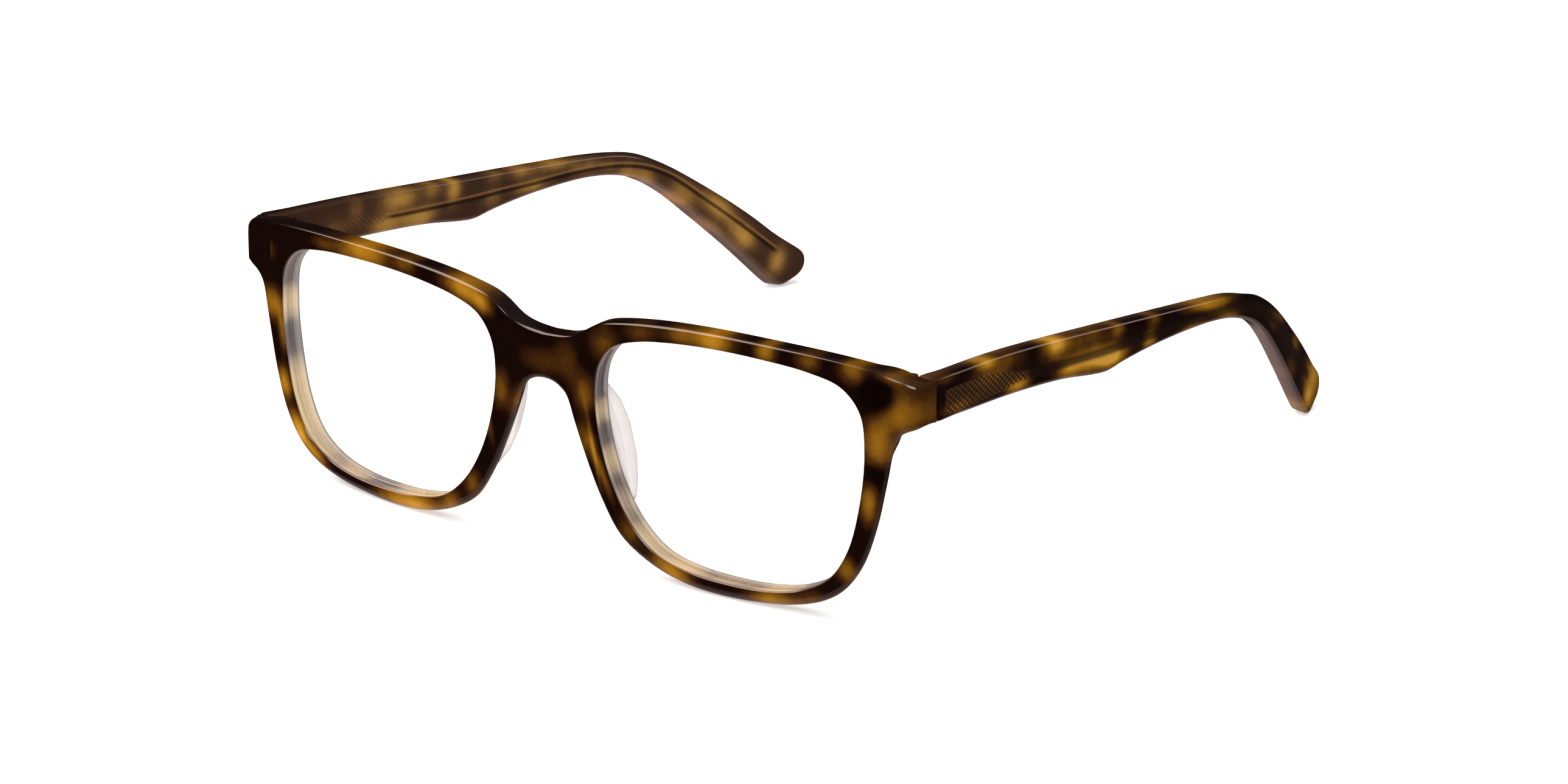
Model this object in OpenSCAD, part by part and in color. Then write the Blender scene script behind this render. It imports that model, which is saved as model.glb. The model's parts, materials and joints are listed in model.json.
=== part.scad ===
// Full-rim acetate eyeglasses frame with clear lenses, built-up nose pads,
// five-barrel hinges and flat steel cores inside the temples.
// The front is drawn in its own upright frame (X to the wearer's left, Y to the ear
// tips, Z up, zero at the middle of the bridge) and then stood on its rims and tips.

/* [Front] */
// Radius of the gentle wrap of the front, seen from above
wrap_radius = 400; // [300:10:600]
// Thickness of the acetate front
front_thickness = 4; // [3.6:0.1:4.4]
// Half the width of the front at the end pieces
half_width = 71.6; // [71:0.1:72.2]
// Radius of the rounded outer corner of each end piece, seen from above
corner_radius = 2.5; // [2:0.5:4]
// Depth at which the end pieces meet the temples
seam_y = 10.5; // [10.4:0.1:10.9]

/* [Lenses] */
// Thickness of a lens
lens_thickness = 1.8; // [1.5:0.1:2.2]
// How far a lens reaches into the groove of its rim
groove_depth = 0.6; // [0.4:0.1:0.8]

/* [Temples] */
// Thickness of the temples
temple_thickness = 3.8; // [3.6:0.1:4]
// Gap between an end piece and its temple
seam_gap = 0.08; // [0.05:0.01:0.15]

/* [Cores] */
// Thickness of the flat steel core inside a temple
core_thickness = 1.1; // [0.9:0.1:1.2]
// Height of the core's wire behind its paddle
wire_height = 1.2; // [1:0.1:1.4]

/* [Hinges] */
// Radius of the hinge barrel
barrel_radius = 1.55; // [1.4:0.05:1.6]
// Height of the whole stack of five knuckles
stack_height = 5.4; // [5:0.1:5.6]
// Radius of the screw's shank
shank_radius = 0.68; // [0.6:0.02:0.72]
// Radial clearance between the shank and the knuckles
shank_clearance = 0.04; // [0.02:0.01:0.06]
// Height of the middle of the hinge above the middle of the bridge
hinge_z = 17.2; // [17:0.1:17.4]

/* [Hidden] */

fit_gap = 0.03;        // between pieces that are set or glued into each other
knuckles = 5;
knuckle_gap = 0.05;
outline_steps = 4;     // straight pieces between two points of an outline
smooth = 48;
wrap_smooth = 720;     // keeps the large wrap radius round

acetate = [0.33, 0.20, 0.07];
clear = [0.85, 0.90, 0.92, 0.4];
crystal = [0.88, 0.86, 0.84, 0.7];
steel = [0.62, 0.62, 0.60];

// Half of the front's outline [x, z], from the top of the bridge round the rim
// to the underside of the bridge
half_outline = [
    [0, 17.05], [4.4, 17.45], [7.1, 18.3], [9.5, 19.85], [11.8, 21], [15.5, 21.85],
    [23, 22.8], [33, 23.3], [44, 23.3], [56, 22.95], [65, 22.2], [70, 21.4],
    [71.6, 20.9], [72.3, 17.5], [71.6, 14.2], [70.4, 13.35], [68.5, 12.55],
    [67.3, 11.3], [66.6, 9.4], [65.1, 2], [63.6, -4.9], [61.2, -11.6], [57.9, -16.2],
    [54, -18.8], [48.5, -20.5], [41.4, -21.4], [34, -21.6], [27.5, -20.95],
    [21.2, -19], [15.5, -15.5], [11.7, -10], [8.9, -4.3], [6.9, 0.5], [5.7, 3.6],
    [4.8, 6.1], [3.6, 7.8], [2, 8.75], [0, 9]];

// Opening of the wearer's left rim [x, z]
aperture = [
    [61.6, 8], [60.7, 14.8], [57.4, 18.5], [51.5, 20.05], [43, 20.7], [34, 20.8],
    [26, 20.3], [19, 19.2], [14.2, 17.35], [11.4, 13.7], [10.5, 8.4], [11.4, 1],
    [14, -6.6], [18, -12.8], [23, -16.8], [29, -18.4], [36.5, -18.9], [44, -18.6],
    [50.3, -17.2], [55.4, -14.2], [58.6, -9.2], [60.6, -1.8]];

// Side view of a temple [y, z]: upper and lower edge, from the hinge to the tip
temple_top = [
    [0, 21.9], [30, 19.5], [58.5, 16.1], [80, 13.4], [95, 11.4], [102.5, 10.1],
    [109, 8.4], [114.5, 5.8], [120, 2.5], [133, -7], [143, -15.6]];
temple_bottom = [
    [0, 15.2], [18, 13.25], [36, 11.65], [49, 10.05], [57.5, 8.4], [61.8, 7.8],
    [66.5, 8.2], [76, 8.5], [87, 8.2], [95, 7.5], [102, 6.1], [108.5, 3.5],
    [114.5, -0.3], [121, -5.9], [130, -14.3], [138, -22.3]];
// Rounded corners of the tip: middle, radius, first and last angle
tip_corners = [[[143.5, -19.8], 3.1, 50, -66], [[140.9, -21.7], 2.4, -66, -134]];

// Plan view of a temple's outer face [x, y]
temple_plan = [
    [72, 0], [71.45, 13], [70.55, 30], [70.1, 50], [69.9, 80], [69.6, 96],
    [68.7, 108], [66.6, 119], [63.4, 131], [58.6, 150]];

// Side view of the core [y, z]: middle line and half height
core_start = 13.2;
core_line = [
    [13.2, 16.6], [20, 16.1], [28, 15.4], [35, 14.6], [41.5, 13.8], [51, 12.8],
    [60, 11.9], [69, 11.2], [79, 10.4], [88, 9.8], [96, 9], [103, 7.8], [109, 6.1],
    [115, 3.1], [124, -3.8], [131, -9.5], [137, -14.6]];
paddle_half_height = [2.1, 2.2, 2.15, 1.5];

// Hinge position
hinge_x = half_width - temple_thickness - barrel_radius - 0.35;
hinge_y = seam_y + 0.9;
knuckle_pitch = (stack_height + knuckle_gap) / knuckles;
knuckle_height = knuckle_pitch - knuckle_gap;
stack_bottom = hinge_z - stack_height / 2;
plate_low = [hinge_x - 4.6, seam_y - 2.3, stack_bottom];
plate_size = [5.9, 1.2, stack_height];

// ---- curves ----
// Centripetal Catmull-Rom piece between b and c
function curve_piece(a, b, c, d, u) =
    let (t1 = sqrt(norm(b - a)), t2 = t1 + sqrt(norm(c - b)), t3 = t2 + sqrt(norm(d - c)),
         t = t1 + u * (t2 - t1),
         ab = ((t1 - t) * a + t * b) / t1,
         bc = ((t2 - t) * b + (t - t1) * c) / (t2 - t1),
         cd = ((t3 - t) * c + (t - t2) * d) / (t3 - t2),
         abc = ((t2 - t) * ab + t * bc) / t2,
         bcd = ((t3 - t) * bc + (t - t1) * cd) / (t3 - t1))
    ((t2 - t) * abc + (t - t1) * bcd) / (t2 - t1);

function open_curve(p, n = outline_steps) =
    let (last = len(p) - 1)
    concat([for (i = [0:last - 1])
                let (a = i == 0 ? 2 * p[0] - p[1] : p[i - 1],
                     d = i == last - 1 ? 2 * p[last] - p[last - 1] : p[i + 2])
                for (k = [0:n - 1]) curve_piece(a, p[i], p[i + 1], d, k / n)],
           [p[last]]);

function closed_curve(p, n = outline_steps) =
    let (m = len(p))
    [for (i = [0:m - 1]) for (k = [0:n - 1])
        curve_piece(p[(i + m - 1) % m], p[i], p[(i + 1) % m], p[(i + 2) % m], k / n)];

function left_normal(v) = [-v.y, v.x] / norm(v);

// A closed counter-clockwise loop moved outwards by d
function grown(p, d) =
    let (m = len(p))
    [for (i = [0:m - 1]) p[i] - d * left_normal(p[(i + 1) % m] - p[(i + m - 1) % m])];

// An open line moved to its left by d, which is a number or one number for each point
function shifted(p, d) =
    let (last = len(p) - 1)
    [for (i = [0:last])
        p[i] + (is_list(d) ? d[i] : d) * left_normal(p[min(i + 1, last)] - p[max(i - 1, 0)])];

function reversed(p) = [for (i = [len(p) - 1:-1:0]) p[i]];
function arc(c, r, from, to, n = 6) =
    [for (i = [0:n]) let (a = from + (to - from) * i / n) c + r * [cos(a), sin(a)]];

// ---- outlines ----
right_half = open_curve(half_outline, 3);
front_outline = concat(right_half, [for (p = reversed(right_half)) if (p.x > 0) [-p.x, p.y]]);
aperture_loop = closed_curve(aperture, 3);
lens_loop = grown(aperture_loop, groove_depth);
temple_side = concat(open_curve(temple_top), arc(tip_corners[0][0], tip_corners[0][1],
                     tip_corners[0][2], tip_corners[0][3]),
                     arc(tip_corners[1][0], tip_corners[1][1], tip_corners[1][2],
                     tip_corners[1][3]), reversed(open_curve(temple_bottom)));
outer_line = open_curve(temple_plan);

// ---- standing on a table ----
rim_low = min([for (p = front_outline) p.y]);
rim_low_y = front_y([for (p = front_outline) if (p.y == rim_low) abs(p.x)][0]);
tip_low = min([for (p = temple_side) p.y]);
tip_low_y = [for (p = temple_side) if (p.y == tip_low) p.x][0];
rest_tilt = atan((rim_low - tip_low) / (tip_low_y - rim_low_y));
function tilted(y, z) = [y * cos(rest_tilt) - z * sin(rest_tilt),
                         y * sin(rest_tilt) + z * cos(rest_tilt)];
foot_z = min([for (p = temple_side) tilted(p.x, p.y).y]);
back_y = max([for (p = temple_side) tilted(p.x, p.y).x]);
face_y = min([for (p = front_outline) tilted(front_y(abs(p.x)), p.y).x]);

function front_y(x) = wrap_radius - sqrt(wrap_radius * wrap_radius - x * x);

module stand() {
    translate([0, -(face_y + back_y) / 2, -foot_z])
        rotate([rest_tilt, 0, 0])
            children();
}

// side = 1 is the wearer's left, side = -1 the wearer's right
module on_side(side) {
    stand()
        mirror([side < 0 ? 1 : 0, 0, 0])
            children();
}

// Extrude an [x, z] outline through the depth of the front
module through_depth(points, from = -5, to = 25) {
    translate([0, to, 0])
        rotate([90, 0, 0])
            linear_extrude(height = to - from)
                polygon(points);
}

// Extrude a [y, z] outline sideways
module through_width(points, from, to) {
    translate([from, 0, 0])
        rotate([90, 0, 90])
            linear_extrude(height = to - from)
                polygon(points);
}

// A curved sheet parallel to the front face, between two depths behind it
module wrap_sheet(depth_from, depth_to, half_height = 40) {
    translate([0, wrap_radius, -half_height])
        difference() {
            cylinder(r = wrap_radius - depth_from, h = 2 * half_height, $fn = wrap_smooth);
            translate([0, 0, -1])
                cylinder(r = wrap_radius - depth_to, h = 2 * half_height + 2,
                         $fn = wrap_smooth);
        }
}

// ---- front ----
corner_x = half_width - corner_radius;
corner_turn = asin(corner_x / (wrap_radius - corner_radius));
corner_y = wrap_radius - (wrap_radius - corner_radius) * cos(corner_turn);

module end_block() {
    translate([0, 0, 5])
        linear_extrude(height = 20)
            polygon(concat([[60, 7]],
                           arc([corner_x, corner_y], corner_radius, corner_turn - 90, 0, 10),
                           [[half_width, seam_y], [hinge_x - 0.5, seam_y],
                            [hinge_x - 2.2, seam_y - 0.5], [hinge_x - 4, seam_y - 1.6]]));
}

module hinge_recess() {
    translate([plate_low.x - fit_gap, plate_low.y - fit_gap, plate_low.z - fit_gap])
        cube([plate_size.x + 2 * fit_gap, 5, plate_size.z + 2 * fit_gap]);
    translate([hinge_x, hinge_y, 5])
        cylinder(r = barrel_radius + 0.2, h = 25, $fn = smooth);
    anchor_fin(fit_gap);
}

// Toothed fin that holds the hinge in the acetate
module anchor_fin(gap = 0) {
    fin = [1, 2.2, 4.2];
    translate([hinge_x - 1.8 - gap, plate_low.y - fin.y - gap, hinge_z - fin.z / 2 - gap])
        cube([fin.x + 2 * gap, fin.y + 0.1 + 2 * gap, fin.z + 2 * gap]);
    for (i = [0:2])
        translate([hinge_x - 2.05 - gap, plate_low.y - 2 + 0.7 * i - gap,
                   hinge_z - fin.z / 2 - gap])
            cube([fin.x + 0.5 + 2 * gap, 0.3 + 2 * gap, fin.z + 2 * gap]);
}

module front_frame() {
    color(acetate)
        stand()
            difference() {
                intersection() {
                    through_depth(front_outline);
                    union() {
                        intersection() {
                            wrap_sheet(0, front_thickness);
                            translate([-corner_x, -5, -40])
                                cube([2 * corner_x, 30, 80]);
                        }
                        end_block();
                        mirror([1, 0, 0])
                            end_block();
                    }
                }
                for (side = [0, 1])
                    mirror([side, 0, 0]) {
                        through_depth(aperture_loop);
                        lens_blank(fit_gap);
                        hinge_recess();
                    }
            }
}

// ---- lenses ----
lens_depth = (front_thickness - lens_thickness) / 2;

module lens_blank(gap = 0) {
    intersection() {
        through_depth(grown(lens_loop, gap));
        wrap_sheet(lens_depth - gap, lens_depth + lens_thickness + gap);
    }
}

module demo_lens(side) {
    color(clear)
        on_side(side)
            lens_blank();
}

// ---- nose pads ----
pad_balls = [
    [[8.3, 4.8, 8.5], 1.1], [[9.9, 6, 5.6], 1.3], [[11, 6.9, 1.6], 1.4],
    [[12.4, 6.8, -3.6], 1.4], [[13.5, 5.8, -7.2], 1.3], [[14.4, 4.8, -9.4], 1],
    [[10.6, 4.5, -1.6], 1]];

module nose_pad(side) {
    color(crystal)
        on_side(side)
            intersection() {
                hull()
                    for (ball = pad_balls)
                        translate(ball[0])
                            sphere(r = ball[1], $fn = 32);
                wrap_sheet(front_thickness + fit_gap, 20);
            }
}

// ---- hinges ----
module knuckle(level, web_from, web_to) {
    translate([hinge_x, hinge_y, stack_bottom + level * knuckle_pitch])
        difference() {
            union() {
                cylinder(r = barrel_radius, h = knuckle_height, $fn = smooth);
                translate([web_from.x, web_from.y, 0])
                    cube([web_to.x - web_from.x, web_to.y - web_from.y, knuckle_height]);
            }
            translate([0, 0, -1])
                cylinder(r = shank_radius + shank_clearance, h = knuckle_height + 2,
                         $fn = smooth);
        }
}

module front_hinge(side) {
    color(steel)
        on_side(side)
            union() {
                translate(plate_low)
                    cube(plate_size);
                anchor_fin();
                for (level = [0, 2, 4])
                    knuckle(level, [-1.3, plate_low.y + 0.5 - hinge_y], [1.3, -0.75]);
            }
}

// Tongue that joins the temple's knuckles to the core
tongue_x = half_width - temple_thickness + 0.15;
tongue_size = [temple_thickness / 2 - core_thickness / 2 - 0.45, 4.6, stack_height - 1.2];

module temple_hinge(side) {
    color(steel)
        on_side(side)
            union() {
                translate([tongue_x, seam_y + 0.3, hinge_z - tongue_size.z / 2])
                    cube(tongue_size);
                for (level = [1, 3])
                    knuckle(level, [0.75, -0.5], [tongue_x + 0.4 - hinge_x, barrel_radius]);
            }
}

module hinge_screw(side) {
    head_height = 0.6;
    head_z = stack_bottom + stack_height + fit_gap;
    color(steel)
        on_side(side)
            translate([hinge_x, hinge_y, 0])
                difference() {
                    union() {
                        translate([0, 0, stack_bottom])
                            cylinder(r = shank_radius, h = stack_height + 0.1, $fn = smooth);
                        translate([0, 0, head_z])
                            cylinder(r = 1.2, h = head_height, $fn = smooth);
                    }
                    translate([-2, -0.15, head_z + head_height - 0.3])
                        cube([4, 0.3, 1]);
                }
}

// ---- temples ----
module plan_band(from, to) {
    translate([0, 0, -60])
        linear_extrude(height = 120)
            polygon(concat(shifted(outer_line, from), reversed(shifted(outer_line, to))));
}

core_offset = (temple_thickness - core_thickness) / 2;
core_points = open_curve(core_line, 3);
core_half = [for (i = [0:len(core_points) - 1])
                let (k = i / 3, j = min(floor(k), 3), b = min(j + 1, 4))
                j < 3 ? paddle_half_height[j] + (k - j) *
                        (paddle_half_height[b] - paddle_half_height[j])
                      : max(wire_height / 2, paddle_half_height[3] - (k - 3) * 1.2)];

module core_blank(gap = 0) {
    upper = shifted(core_points, [for (h = core_half) h + gap]);
    lower = shifted(core_points, [for (h = core_half) -h - gap]);
    point = core_points[len(core_points) - 1] + [1.6 + gap, -1.4 - gap];
    intersection() {
        through_width(concat(upper, [point], reversed(lower)), 40, 80);
        plan_band(core_offset - gap, core_offset + core_thickness + gap);
        translate([40, core_start - gap, -60])
            cube([40, 150, 120]);
    }
}

module core_wire(side) {
    color(steel)
        on_side(side)
            core_blank();
}

module temple(side) {
    color(acetate)
        on_side(side)
            difference() {
                intersection() {
                    through_width(temple_side, 40, 80);
                    plan_band(0, temple_thickness);
                }
                translate([30, -30, -50])
                    cube([60, seam_y + seam_gap + 30, 100]);
                core_blank(fit_gap);
                translate([hinge_x, seam_y - 1, hinge_z - tongue_size.z / 2 - fit_gap])
                    cube([tongue_x + tongue_size.x + 2 * fit_gap - hinge_x,
                          tongue_size.y + 1.3 + fit_gap, tongue_size.z + 2 * fit_gap]);
            }
}

front_frame();
demo_lens(1);  // demo_lens_left
demo_lens(-1);  // demo_lens_right
nose_pad(1);  // nose_pad_left
nose_pad(-1);  // nose_pad_right
front_hinge(1);  // front_hinge_left
front_hinge(-1);  // front_hinge_right
hinge_screw(1);  // hinge_screw_left
hinge_screw(-1);  // hinge_screw_right
temple(1);  // temple_left
temple(-1);  // temple_right
temple_hinge(1);  // temple_hinge_left
temple_hinge(-1);  // temple_hinge_right
core_wire(1);  // core_wire_left
core_wire(-1);  // core_wire_right
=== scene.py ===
"""Visual model of a full-rim tortoise eyeglasses frame: front, temples, clear lenses and nose pads.

Shapes are drawn in millimetres in the front's own upright frame (X to the wearer's left, Y to the ear
tips, Z up, zero at the middle of the bridge) and stood up like the CAD part by stand().
"""

import json
import math

import bmesh
import bpy
import numpy as np
from mathutils import Matrix, Vector


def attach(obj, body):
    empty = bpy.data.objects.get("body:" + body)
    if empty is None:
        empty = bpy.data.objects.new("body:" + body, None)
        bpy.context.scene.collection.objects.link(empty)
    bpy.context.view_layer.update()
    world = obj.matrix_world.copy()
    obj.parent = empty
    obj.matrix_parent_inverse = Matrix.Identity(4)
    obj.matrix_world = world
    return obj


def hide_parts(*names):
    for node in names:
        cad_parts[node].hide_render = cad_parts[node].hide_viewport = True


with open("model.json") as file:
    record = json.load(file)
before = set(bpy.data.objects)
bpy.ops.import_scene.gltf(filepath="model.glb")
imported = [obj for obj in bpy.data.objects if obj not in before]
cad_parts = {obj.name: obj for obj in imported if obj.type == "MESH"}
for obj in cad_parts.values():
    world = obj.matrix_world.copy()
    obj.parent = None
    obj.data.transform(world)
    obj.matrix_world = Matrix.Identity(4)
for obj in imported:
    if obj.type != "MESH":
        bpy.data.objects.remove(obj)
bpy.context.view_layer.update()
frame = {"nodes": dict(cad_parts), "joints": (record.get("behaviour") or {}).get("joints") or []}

MM = 0.001
LEFT, RIGHT = 1, -1
SIDE_NAMES = {LEFT: "left", RIGHT: "right"}

# ---- driving dimensions, in mm ----
wrap_radius = 400.0
front_thickness = 4.0
half_width = 71.6
corner_radius = 2.5
seam_y = 10.5
seam_top = 20.85
seam_low = 14.1
seam_gap = 0.08
lens_front = 1.1
lens_back = 2.9
groove_depth = 0.6
temple_thickness = 3.8
hinge_centre = np.array([65.9, 11.4, 17.2])
aperture_chamfer = 0.15
front_edge_radius = 0.9
lower_edge_radius = 1.5
back_edge_radius = 0.8
side_back_radius = 1.5
nasal_splay = 1.3
temporal_splay = 0.8
temple_edge_radius = 0.85
outer_top_rise = 0.3
inner_top_drop = 0.8
inner_low_rise = 0.6
seam_edge_radius = 0.25
back_seam_radius = 0.2
end_corner_extra = 0.8
side_edge_cut = 0.35
seam_fade = 2.6
lens_dome = 0.7

# Where the edges change their shape [from, to]: u along the front, z upright, y along a temple
end_piece_u = (64, 69)
end_piece_z = (17, 19)
back_seam_u = (73.5, 71)
rim_side_z = (10, 7)
lower_rim_z = 8
rim_middle_u = 32
bend_y = (101, 113)
tip_y = (145, 138)

# Recess behind an end piece: x from the hinge's axis, y and z upright; and the bore round the barrel
recess_from = [-4.65, 8.15, 14.45]
recess_to = [1.35, 12, 19.95]
bore_radius = 1.75
bore_from_z, bore_to_z = 13.9, 21.15

# Pocket in a temple for the hinge's tongue
pocket_from = [60, 10, 15]
pocket_to = [68.9, 15.45, 19.8]

# Spacing of the columns of the meshes
column_step = 1.15
seam_step = 1.1
bridge_columns = 6
bridge_low_inset = 1.9
bridge_top_inset = 1.7
temple_stations = 118
lens_step = 1.3

# Half of the front's outline [x, z], from the top of the bridge round the rim and back under the bridge
half_outline = [
    [0, 17.05], [4.4, 17.45], [7.1, 18.3], [9.5, 19.85], [11.8, 21], [15.5, 21.85],
    [23, 22.8], [33, 23.3], [44, 23.3], [56, 22.95], [65, 22.2], [70, 21.4],
    [71.6, 20.9], [72.3, 17.5], [71.6, 14.2], [70.4, 13.35], [68.5, 12.55],
    [67.3, 11.3], [66.6, 9.4], [65.1, 2], [63.6, -4.9], [61.2, -11.6], [57.9, -16.2],
    [54, -18.8], [48.5, -20.5], [41.4, -21.4], [34, -21.6], [27.5, -20.95],
    [21.2, -19], [15.5, -15.5], [11.7, -10], [8.9, -4.3], [6.9, 0.5], [5.7, 3.6],
    [4.8, 6.1], [3.6, 7.8], [2, 8.75], [0, 9]]

# Opening of the wearer's left rim [x, z]
aperture = [
    [61.6, 8], [60.7, 14.8], [57.4, 18.5], [51.5, 20.05], [43, 20.7], [34, 20.8],
    [26, 20.3], [19, 19.2], [14.2, 17.35], [11.4, 13.7], [10.5, 8.4], [11.4, 1],
    [14, -6.6], [18, -12.8], [23, -16.8], [29, -18.4], [36.5, -18.9], [44, -18.6],
    [50.3, -17.2], [55.4, -14.2], [58.6, -9.2], [60.6, -1.8]]
lens_centre = np.array([36.0, 1.0])

# Side view of a temple [y, z] and the rounded corners of its tip [middle, radius, first and last angle]
temple_top = [
    [0, 21.9], [30, 19.5], [58.5, 16.1], [80, 13.4], [95, 11.4], [102.5, 10.1],
    [109, 8.4], [114.5, 5.8], [120, 2.5], [133, -7], [143, -15.6]]
temple_bottom = [
    [0, 15.2], [18, 13.25], [36, 11.65], [49, 10.05], [57.5, 8.4], [61.8, 7.8],
    [66.5, 8.2], [76, 8.5], [87, 8.2], [95, 7.5], [102, 6.1], [108.5, 3.5],
    [114.5, -0.3], [121, -5.9], [130, -14.3], [138, -22.3]]
tip_corners = [[[143.5, -19.8], 3.1, 50, -66], [[140.9, -21.7], 2.4, -66, -134]]

# Plan view of a temple's outer face [x, y]
temple_plan = [
    [72, 0], [71.45, 13], [70.55, 30], [70.1, 50], [69.9, 80], [69.6, 96],
    [68.7, 108], [66.6, 119], [63.4, 131], [58.6, 150]]

# Side view of the steel core inside a temple [y, z]
core_line = [
    [13.2, 16.6], [20, 16.1], [28, 15.4], [35, 14.6], [41.5, 13.8], [51, 12.8],
    [60, 11.9], [69, 11.2], [79, 10.4], [88, 9.8], [96, 9], [103, 7.8], [109, 6.1],
    [115, 3.1], [124, -3.8], [131, -9.5], [137, -14.6]]
paddle_start = 12.0
paddle_length = 25.0
core_shown_to = 133.0
knurl_pitch = 0.7
knurl_slope = 1.4

# Balls whose hull is the left nose pad: middle, radius
pad_balls = [
    [[8.3, 4.8, 8.5], 1.1], [[9.9, 6, 5.6], 1.3], [[11, 6.9, 1.6], 1.4],
    [[12.4, 6.8, -3.6], 1.4], [[13.5, 5.8, -7.2], 1.3], [[14.4, 4.8, -9.4], 1],
    [[10.6, 4.5, -1.6], 1]]

# ---- tortoise pattern: soft amber spots on a near-black brown ----
# On the front [x, z, half width, half height, turn in degrees, strength]; negative strength is a dark spot
front_spots = [
    # wearer's right half
    [-64.3, 7.8, 2.6, 2.3, 0, 0.64], [-61.6, 3.4, 0.9, 3.0, 5, 0.5], [-61.6, -6.0, 1.5, 2.4, 15, 0.75],
    [-58.3, -13.2, 1.7, 2.6, 40, 0.85], [-54.4, -16.6, 3.2, 1.1, -30, 0.75], [-30.5, -20.0, 6.0, 1.8, 4, 0.9],
    [-21.0, -17.4, 2.2, 1.6, 35, 0.45], [-16.0, -12.8, 1.5, 2.0, -20, 0.4], [-9.2, 5.4, 1.6, 2.8, 0, 0.4],
    [-12.0, -1.5, 0.7, 3.0, 15, 0.3], [-40.5, 22.3, 5.0, 2.2, 0, 0.75], [-30.5, 22.5, 2.4, 1.6, 0, 0.3],
    [-17.0, 21.0, 4.0, 1.8, -12, 0.75], [-13.0, 19.2, 1.8, 1.2, -35, 0.4], [-50.0, 21.6, 2.5, 1.0, 0, 0.25],
    [-5.5, 4.0, 1.2, 2.6, -20, 0.35], [-63.9, 17.4, 0.35, 1.6, 0, 0.22], [-62.9, 17.2, 0.3, 1.4, 0, 0.12],
    # bridge
    [-0.5, 12.3, 3.4, 1.9, 0, 0.22], [5.0, 13.3, 2.0, 3.0, 0, 0.24],
    # wearer's left half
    [8.6, 8.4, 1.7, 2.6, 0, 0.42], [8.9, 0.2, 1.6, 2.6, 20, 0.4], [12.0, -4.6, 0.7, 4.0, 24, 0.4],
    [10.3, -1.0, 0.4, 6.0, 12, 0.35],
    [12.6, 17.8, 2.4, 2.2, 40, 0.35], [20.0, 21.0, 2.4, 1.4, 10, 0.3], [27.5, 22.0, 2.6, 1.3, 5, 0.4],
    [33.8, 22.2, 3.2, 1.8, 0, 0.8], [43.8, 22.4, 1.6, 1.6, 0, 0.62], [51.5, 22.0, 1.8, 1.4, 0, 0.36],
    [59.6, 22.0, 1.9, 2.1, 0, 0.52], [65.8, 21.6, 2.0, 1.0, 0, 0.35], [66.6, 14.6, 3.6, 2.0, 18, 0.42],
    [64.0, 9.8, 2.3, 2.8, 0, 0.62], [72.2, 17.2, 3.6, 4.6, 0, 0.26], [67.8, 18.3, 1.8, 2.4, 0, 0.26],
    [63.8, 18.6, 2.2, 2.0, 0, -0.4], [62.5, 0.0, 1.3, 3.0, 0, 0.6], [63.4, 5.0, 2.0, 1.3, 0, -0.2],
    [58.6, -12.0, 1.6, 1.8, 30, 0.5], [45.0, -19.9, 4.0, 1.4, 6, 0.65], [25.6, -18.8, 3.6, 1.6, -20, 0.72],
    [17.5, -13.6, 1.6, 2.2, 40, 0.35], [52.0, -18.4, 2.5, 1.2, 20, 0.3]]

# On the milled walls of the lens openings [x, z, half width, half height, turn, strength]
wall_spots = [
    [-61.5, 8, 4, 2.6, 0, 0.85], [-60.5, -6, 4, 3.6, 0, 0.9], [-57.5, -12, 4, 3.2, 0, 0.9],
    [-53.0, -16, 2.6, 2.4, 0, 0.45], [-46, -18.4, 4, 3, 0, 0.5], [-30, -18.4, 5, 3, 0, 0.8],
    [-23, -17, 3, 3, 0, 0.7], [-10.6, 6, 3, 3, 0, 0.4], [-14, -7, 3, 3, 0, 0.3],
    [10.6, 5, 3, 1.8, 0, 0.7], [12.4, -3, 3, 2.2, 0, 0.75], [15.5, -9.5, 3, 2.4, 0, 0.45],
    [20, -15, 3.4, 2.8, 0, 0.75], [27, -18, 4, 3, 0, 0.8], [45.5, -18.6, 3.6, 3, 0, 0.75],
    [36.5, -18.9, 4, 3, 0, 0.4],
    [56, -13.5, 4, 3, 0, 0.5], [61, 4, 4, 4, 0, 0.3]]

# On the wearer's left temple [y, z, half length, half height, turn, strength]
left_temple_spots = [
    [17.0, 14.9, 4.0, 0.9, -5, 0.5], [13.0, 20.6, 3.0, 0.7, -5, 0.25], [25.5, 19.6, 2.6, 0.8, -6, 0.75],
    [27.0, 17.3, 4.5, 1.8, -6, 0.32], [34.5, 13.3, 3.0, 1.0, -6, 0.8], [33.0, 18.6, 3.4, 1.0, -6, 0.22],
    [46.0, 17.2, 3.2, 1.8, -10, 1.0], [28.5, 17.0, 8.0, 2.6, -7, 0.12], [53.0, 13.6, 8.0, 3.0, -7, 0.14],
    [56.5, 15.9, 5.6, 1.4, -7, 0.26], [57.5, 11.4, 6.0, 1.6, -7, 0.95],
    [62.5, 10.2, 3.4, 1.5, -5, 0.8], [49.5, 12.0, 3.0, 1.5, -8, 0.55], [64.5, 14.6, 1.8, 1.3, 0, 0.4],
    [74.0, 10.2, 1.9, 1.2, 0, 0.85], [75.5, 13.6, 1.8, 1.4, 0, 0.36], [93.0, 11.3, 6.5, 0.8, -8, 0.8],
    [87.5, 9.2, 3.6, 0.7, -3, 0.6], [98.0, 8.4, 4.2, 0.8, -14, 0.8], [118.0, 1.0, 2.6, 1.4, -42, 0.36],
    [122.0, 0.4, 2.2, 0.9, -40, 0.36], [131.0, -7.4, 2.4, 1.4, -42, 0.45],
    [129.0, -11.5, 3.0, 1.6, -42, 0.26],
    [142.0, -17.5, 4.4, 4.8, 0, 0.85], [139.0, -20.5, 2.6, 1.8, -42, 0.5]]

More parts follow.
